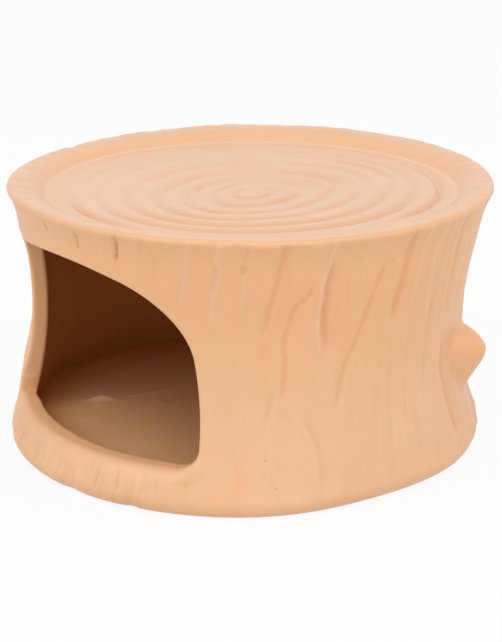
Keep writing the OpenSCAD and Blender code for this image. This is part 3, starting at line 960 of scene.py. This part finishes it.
def build_floor(material):
    """The disc that closes the foot, with a step around it."""
    shell = Shell()
    rows = []
    for r in np.linspace(0, FLOOR_HOLE_R, FLOOR_RINGS)[1:]:
        points = place(DISC_AZ, r, FLOOR_Z + floor_relief(r))
        # Painted shade of the den, darker towards the floor's edge
        rows.append(shell.add(points, den=FLOOR_DEN_SHADE * smooth((r - FLOOR_DEN_SHADE_R) / FLOOR_DEN_SHADE_W)))
    shell.cap(rows[0], FLOOR_Z)
    section = [(FLOOR_HOLE_R, FLOOR_STEP_Z), (FLOOR_R, FLOOR_STEP_Z), (FLOOR_R, FLOOR_UNDER_Z),
               (FLOOR_UNDER_R, FLOOR_UNDER_Z)]
    rows += [shell.add(place(DISC_AZ, r, z)) for r, z in section]
    shell.bands(rows)
    shell.cap(rows[-1], FLOOR_UNDER_Z)
    shell.piece("den_floor", material, "terracotta_floor", "floor_plate")


def build_coil(name, node, wave, material):
    """A quarter-round clay coil pressed into the corner below a disc."""
    low, high = node_box(node)
    shell = Shell()
    az = np.arange(-180, 180, COIL_STEP)
    leg = (high[2] - low[2]) * (1 + waves(wave, az, 0))
    rows = [shell.add(place(az, high[0], high[2]))]
    for turn in np.radians(np.linspace(0, 90, COIL_ROWS)):
        rows.append(shell.add(place(az, high[0] - leg * np.cos(turn), high[2] - leg * np.sin(turn))))
    shell.bands(rows + [rows[0]])
    shell.piece(name, material, "luting_clay", node)


def add_node(tree, kind, **inputs):
    """A shader node with these inputs set, an underscore standing for a space in their names."""
    made = tree.nodes.new(kind)
    for name, value in inputs.items():
        made.inputs[name.replace("_", " ")].default_value = value
    return made


def add_material(name):
    """A new material, its node tree and its shader."""
    material = bpy.data.materials.new(name)
    material.use_nodes = True
    return material, material.node_tree, material.node_tree.nodes["Principled BSDF"]


def clay(name, colour, rough, pores=(), topped=False):
    """Satin terracotta: clouded colour, upright brush streaks and grain, with painted shade in furrows, den
    and pores, painted highlight on ridges and painted warm shade.
    """
    material, tree, shader = add_material(name)
    link = tree.links.new
    shader.inputs["Coat Roughness"].default_value = COAT_ROUGH
    coords = tree.nodes.new("ShaderNodeTexCoord").outputs["Object"]

    def noise(scale, detail, stretch=1):
        made = add_node(tree, "ShaderNodeTexNoise", Scale=scale, Detail=detail, Roughness=0.6)
        mapping = add_node(tree, "ShaderNodeMapping", Scale=(1, 1, stretch))
        link(coords, mapping.inputs["Vector"])
        link(mapping.outputs["Vector"], made.inputs["Vector"])
        return made.outputs["Fac"]

    def spread(value, low, high, to_low, to_high):
        made = add_node(tree, "ShaderNodeMapRange", From_Min=low, From_Max=high, To_Min=to_low,
                        To_Max=to_high)
        link(value, made.inputs["Value"])
        return made.outputs["Result"]

    def mixed(fac, a, b):
        made = tree.nodes.new("ShaderNodeMix")
        made.data_type = "RGBA"
        link(fac, made.inputs["Factor"])
        for socket, value in ((made.inputs[6], a), (made.inputs[7], b)):
            if isinstance(value, tuple):
                socket.default_value = (*value, 1)
            else:
                link(value, socket)
        return made.outputs[2]

    def tint(scales):
        return tuple(share * scale for share, scale in zip(colour, scales))

    def shade(attribute):
        made = tree.nodes.new("ShaderNodeAttribute")
        made.attribute_name = attribute
        return made.outputs["Fac"]

    def tinted(value, low, high, share, scales):
        """The base with a tint that comes in, up to a share, as value goes from low to high."""
        return mixed(spread(value, low, high, 0, share), base, tint(scales))

    clouds, grain = noise(CLOUD_SCALE, 3), noise(GRAIN_SCALE, 2)
    strokes, streaks = noise(STROKE_SCALE, 4, STROKE_DRAW), noise(STREAK_SCALE, 5, STREAK_DRAW)
    base = mixed(spread(clouds, 0.3, 0.7, 0, 1), tint(CLOUD_DARK), tint(CLOUD_PALE))
    base = tinted(strokes, 0.45, 0.7, 0.5, STROKE_PALE)
    base = tinted(strokes, 0.45, 0.25, 0.5, STROKE_DARK)
    base = tinted(streaks, 0.35, 0.75, 0.45, STREAK_PALE)
    base = tinted(grain, 0.62, 0.8, 0.35, GRAIN_DARK)
    # Painted warm shade
    base = tinted(shade("warm"), 0, 1, 0.7, WARM_SHADE_TINT)
    if topped:
        top = shade("top")
        base = mixed(spread(top, 0, 1, 0, 0.9), base, TOP_COLOUR)
        link(spread(top, 0, 1, 0, TOP_COAT), shader.inputs["Coat Weight"])
    # Painted shade in furrows and valleys, and painted highlight on ridges
    furrow = shade("furrow")
    base = tinted(furrow, 0.1, 1, 0.6, FURROW_SHADE_TINT)
    base = tinted(furrow, -0.05, -0.45, 0.8, RIDGE_HIGHLIGHT_TINT)
    # Painted shade of the den
    base = mixed(shade("den"), base, tint(DEN_SHADE_TINT))
    # Painted shade in the pores' pinholes
    for pore in pores:
        spot = add_node(tree, "ShaderNodeVectorMath")
        spot.operation = "DISTANCE"
        link(coords, spot.inputs[0])
        spot.inputs[1].default_value = pore
        base = tinted(spot.outputs["Value"], PORE_R * MM, PORE_CORE * MM, 1, PORE_SHADE_TINT)
    link(base, shader.inputs["Base Color"])
    roughness = spread(streaks, 0.3, 0.8, rough - ROUGH_SPREAD, rough + ROUGH_SPREAD)
    link(roughness, shader.inputs["Roughness"])
    lines = add_node(tree, "ShaderNodeBump", Strength=0.45, Distance=0.0004)
    link(streaks, lines.inputs["Height"])
    fine = add_node(tree, "ShaderNodeBump", Strength=0.25, Distance=0.0001)
    link(grain, fine.inputs["Height"])
    link(lines.outputs["Normal"], fine.inputs["Normal"])
    link(fine.outputs["Normal"], shader.inputs["Normal"])
    return material


def stage_floor():
    """A pale floor that is white to the camera and keeps the stump's shadow."""
    half = STAGE_HALF * MM
    mesh = bpy.data.meshes.new("pale_floor")
    corners = [(-half, -half, 0), (half, -half, 0), (half, half, 0), (-half, half, 0)]
    mesh.from_pydata(corners, [], [(0, 1, 2, 3)])
    floor = add_object("pale_floor", mesh)
    material, tree, shader = add_material("pale_paper")
    shader.inputs["Base Color"].default_value = (PAPER_GREY, PAPER_GREY, PAPER_GREY, 1)
    shader.inputs["Roughness"].default_value = 0.9
    glow = add_node(tree, "ShaderNodeEmission", Color=(1, 1, 1, 1), Strength=1.0)
    mix = tree.nodes.new("ShaderNodeMixShader")
    tree.links.new(seen(tree, PAPER_SEEN, 0), mix.inputs[0])
    tree.links.new(shader.outputs[0], mix.inputs[1])
    tree.links.new(glow.outputs[0], mix.inputs[2])
    tree.links.new(mix.outputs[0], tree.nodes["Material Output"].inputs["Surface"])
    mesh.materials.append(material)


def seen(tree, share, rest):
    """share on camera, mirror and glass rays, and rest on the others."""
    path = tree.nodes.new("ShaderNodeLightPath")
    total = path.outputs["Is Camera Ray"]
    for name in ("Is Glossy Ray", "Is Transmission Ray"):
        either = tree.nodes.new("ShaderNodeMath")
        either.operation = "MAXIMUM"
        tree.links.new(total, either.inputs[0])
        tree.links.new(path.outputs[name], either.inputs[1])
        total = either.outputs["Value"]
    scaled = add_node(tree, "ShaderNodeMapRange", To_Min=rest, To_Max=share)
    tree.links.new(total, scaled.inputs["Value"])
    return scaled.outputs["Result"]


def set_world():
    """White to the camera, and a dimmer even light on the object."""
    world = bpy.data.worlds.new("studio")
    bpy.context.scene.world = world
    world.use_nodes = True
    tree = world.node_tree
    background = tree.nodes["Background"]
    background.inputs["Color"].default_value = (1, 1, 1, 1)
    tree.links.new(seen(tree, 1, WORLD_LIGHT), background.inputs["Strength"])


def softbox(name, side_az, elevation, out, power):
    """A square area lamp that looks at the stump from a side azimuth and an elevation."""
    lamp = bpy.data.lights.new(name, "AREA")
    lamp.size = LAMP_SIZE * MM
    lamp.energy = power
    obj = add_object(name, lamp)
    rise = math.radians(elevation)
    back = direction(np.array(float(side_az + CAMERA_AZ))) * math.cos(rise)
    back[2] = math.sin(rise)
    obj.location = (LAMP_AIM + back * out) * MM
    obj.rotation_euler = Vector(-back).to_track_quat("-Z", "Y").to_euler()


def add_camera():
    """The camera of the photograph, as fitted to it."""
    camera = bpy.data.cameras.new("photo_camera")
    camera.lens = FOCAL_PX * camera.sensor_width / IMAGE_H
    obj = add_object("photo_camera", camera)
    spot = direction(np.array(float(CAMERA_AZ))) * CAMERA_OUT + CAMERA_SIDE * LEAN / 2
    spot[2] = CAMERA_Z
    obj.location = spot * MM
    obj.rotation_euler = (math.radians(90 - CAMERA_PITCH), 0, math.radians(CAMERA_AZ))
    camera.clip_start, camera.clip_end = 0.01, 100
    bpy.context.scene.camera = obj


def main():
    bpy.context.scene.view_settings.view_transform = "Standard"
    add_camera()
    pore_az, pore_z = np.array(PORES).T
    pores = leaned(side_point(pore_az + CAMERA_AZ, pore_z)[0]) * MM
    wall_clay = clay("terracotta_bark", WALL_COLOUR, WALL_ROUGH, pores.tolist(), topped=True)
    top_clay = clay("terracotta_rings", TOP_COLOUR, TOP_ROUGH)
    top_clay.node_tree.nodes["Principled BSDF"].inputs["Coat Weight"].default_value = TOP_COAT
    floor_clay = clay("terracotta_den", FLOOR_COLOUR_AND_SHADE, FLOOR_ROUGH)
    coil_clay = clay("luting_slip", COIL_COLOUR, COIL_ROUGH)
    build_wall(wall_clay)
    build_knot(wall_clay)
    build_roof(top_clay)
    build_floor(floor_clay)
    build_coil("roof_luting", "roof_coil", ROOF_COIL, coil_clay)
    build_coil("floor_luting", "floor_coil", FLOOR_COIL, coil_clay)
    stage_floor()
    set_world()
    for box in SOFTBOXES:
        softbox(*box)


main()
